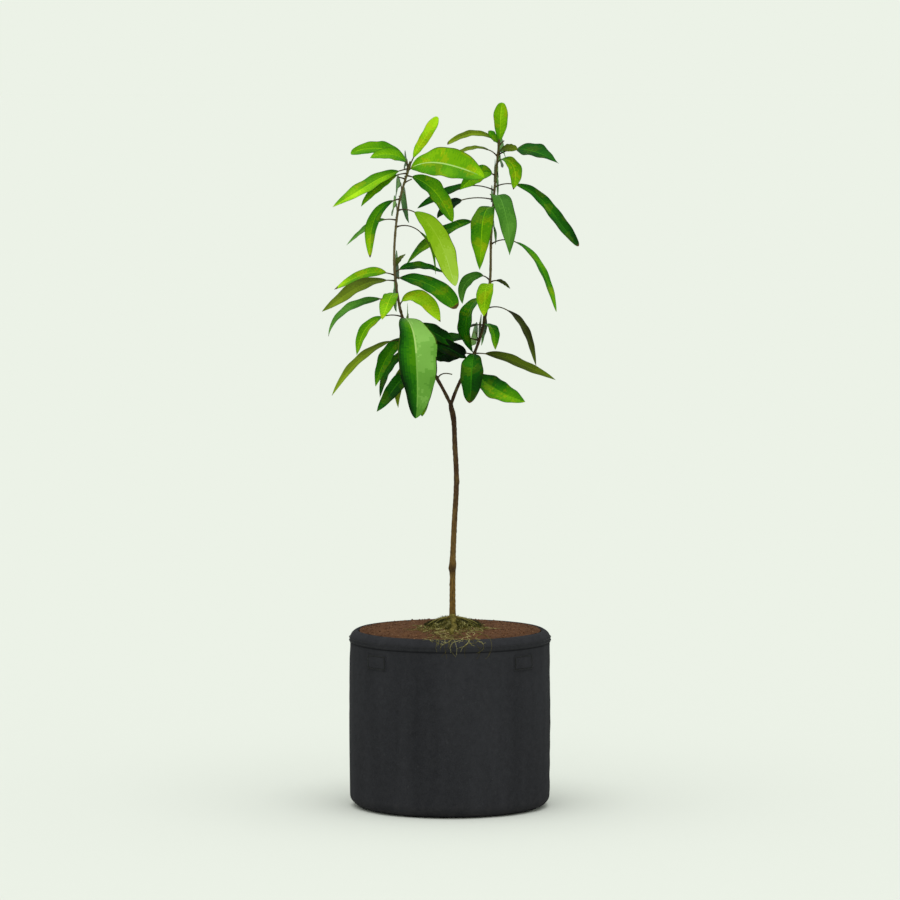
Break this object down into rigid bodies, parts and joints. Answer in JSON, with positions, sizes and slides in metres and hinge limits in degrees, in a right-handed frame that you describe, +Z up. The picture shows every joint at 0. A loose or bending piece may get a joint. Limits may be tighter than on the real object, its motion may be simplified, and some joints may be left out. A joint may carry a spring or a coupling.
{
  "type": "mango sapling in grow bag",
  "caption": "Young mango sapling with a slim forked stem and drooping leaves in flushes, rooted in a filled round felt grow bag.",
  "frame": {"origin": "middle of the grow bag's flat underside", "axes": "+Z up along the trunk, +X to the right and +Y to the back, seen from the front"},
  "size_m": [0.456, 0.356, 1.2527],
  "materials": {
    "felt": "charcoal needle felt, matt",
    "soil": "moist brown potting soil, matt",
    "moss": "mossy hump of fine roots, matt",
    "bark": "thin brown bark, satin",
    "green_bark": "young olive-brown bark, satin",
    "leaf_lime": "young leathery leaf, satin",
    "leaf_green": "leathery leaf, satin",
    "leaf_deep_green": "mature leathery leaf, satin"
  },
  "bodies": {
    "root": {"grow_bag": "felt", "soil": "soil", "root_mat": "moss", "trunk": "bark", "left_lower_bough": "green_bark", "left_upper_bough": "green_bark", "right_lower_bough": "green_bark", "right_upper_bough": "green_bark", "front_left_stitched_patch": "felt", "front_right_stitched_patch": "felt", "back_right_stitched_patch": "felt", "back_left_stitched_patch": "felt", "left_low_foliage": "leaf_green", "left_middle_foliage": "leaf_lime", "left_top_foliage": "leaf_lime", "right_low_foliage": "leaf_deep_green", "right_middle_foliage": "leaf_lime", "right_upper_foliage": "leaf_green", "right_top_foliage": "leaf_deep_green"}
  },
  "joints": []
}
